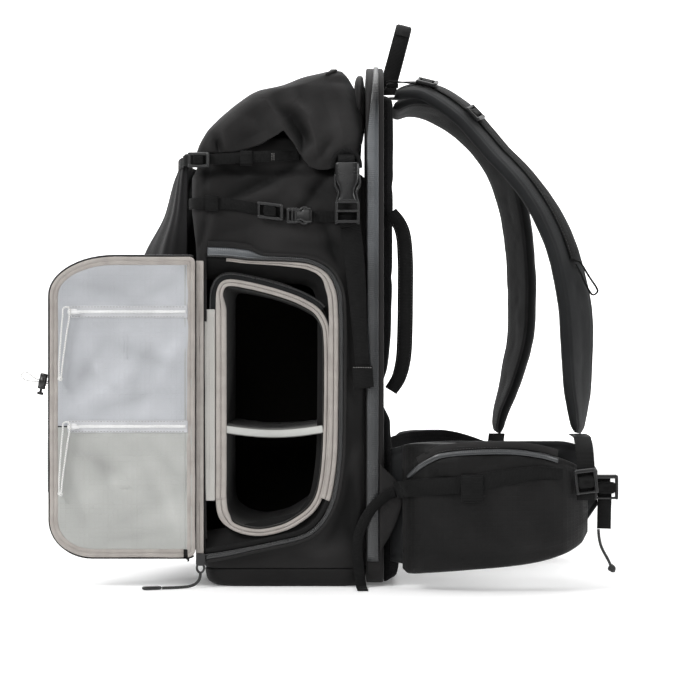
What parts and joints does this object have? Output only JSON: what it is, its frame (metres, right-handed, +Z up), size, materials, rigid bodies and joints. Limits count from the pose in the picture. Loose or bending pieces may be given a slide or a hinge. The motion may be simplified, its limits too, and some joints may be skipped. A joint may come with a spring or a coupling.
{
  "type": "camera backpack",
  "caption": "Black roll-top camera backpack with its pale-lined side door open on a padded camera insert, with a full harness and hip belt",
  "frame": {"origin": "the centre of the flat base, on the ground", "axes": "+Z up; +X towards the wearer's back and the harness; -Y towards the side with the open door"},
  "size_m": [0.6477, 0.4136, 0.6187],
  "materials": {
    "main_fabric": "black coated nylon, matt, soft creases",
    "stretch_fabric": "black stretch knit",
    "pad_fabric": "black padded knit and mesh",
    "strap_fabric": "black padded strap cloth, stitched edges",
    "ripstop_fabric": "black ripstop with a fine grid",
    "webbing": "black woven webbing",
    "black_plastic": "black moulded acetal, satin",
    "coated_zipper": "grey-black water-resistant coil zipper, glossy film",
    "pale_binding": "pale beige-grey grosgrain binding",
    "blue_grey_lining": "pale blue-grey ripstop lining",
    "grey_lining": "light grey lining cloth",
    "white_zip": "white coil zipper with a white tape",
    "white_cord": "white braided cord",
    "black_cord": "black braided cord"
  },
  "bodies": {
    "root": {"pack_shell": "main_fabric", "base_panel": "main_fabric", "roll_top_hood": "main_fabric", "front_pocket": "stretch_fabric", "rear_compartment": "main_fabric", "rear_zip": "coated_zipper", "opening_zip": "coated_zipper", "opening_binding": "pale_binding", "camera_cube": "pad_fabric", "cube_binding": "pale_binding", "hook_strip": "grey_lining", "cube_divider": "grey_lining", "door_hinge_strip": "pale_binding", "door_panel": "main_fabric", "door_binding": "pale_binding", "door_pocket_upper": "blue_grey_lining", "door_pocket_lower": "grey_lining", "door_zip_upper": "white_zip", "door_zip_lower": "white_zip", "door_zip_tape": "webbing", "door_cord_upper": "white_cord", "door_cord_lower": "white_cord", "cord_lock_barrel": "black_plastic", "cord_lock_loop": "white_cord", "upper_strap": "webbing", "upper_strap_lock": "black_plastic", "lower_strap": "webbing", "lower_strap_lock": "black_plastic", "lower_strap_buckle": "black_plastic", "top_strap_tab": "webbing", "top_strap_buckle": "black_plastic", "top_strap": "webbing", "haul_loop": "webbing", "side_handle": "webbing", "tripod_strap": "webbing", "base_puller": "black_plastic", "base_cord": "black_cord", "base_cord_tab": "black_plastic", "back_pad": "pad_fabric", "lumbar_pad": "pad_fabric", "shoulder_strap_near": "strap_fabric", "shoulder_strap_far": "strap_fabric", "load_lifter_near": "webbing", "load_lifter_far": "webbing", "load_lifter_lock": "black_plastic", "sternum_slider": "black_plastic", "strap_webbing_near": "webbing", "strap_webbing_far": "webbing", "strap_lock_near": "black_plastic", "hip_wing_near": "pad_fabric", "hip_wing_far": "pad_fabric", "hip_pocket_near": "ripstop_fabric", "hip_pocket_far": "ripstop_fabric", "hip_strap_near": "webbing", "belt_lock": "black_plastic", "belt_webbing": "webbing", "hip_cord": "black_cord", "fin_panel_near": "main_fabric", "fin_panel_far": "main_fabric"},
    "lock_plunger": {"cord_lock_plunger": "black_plastic"}
  },
  "joints": [
    {"name": "plunger_press", "type": "slide", "parent": "root", "child": "lock_plunger", "axis": [0.2079, 0, 0.9781], "range_m": [0, 0.003], "stiffness_N_per_m": 300}
  ]
}
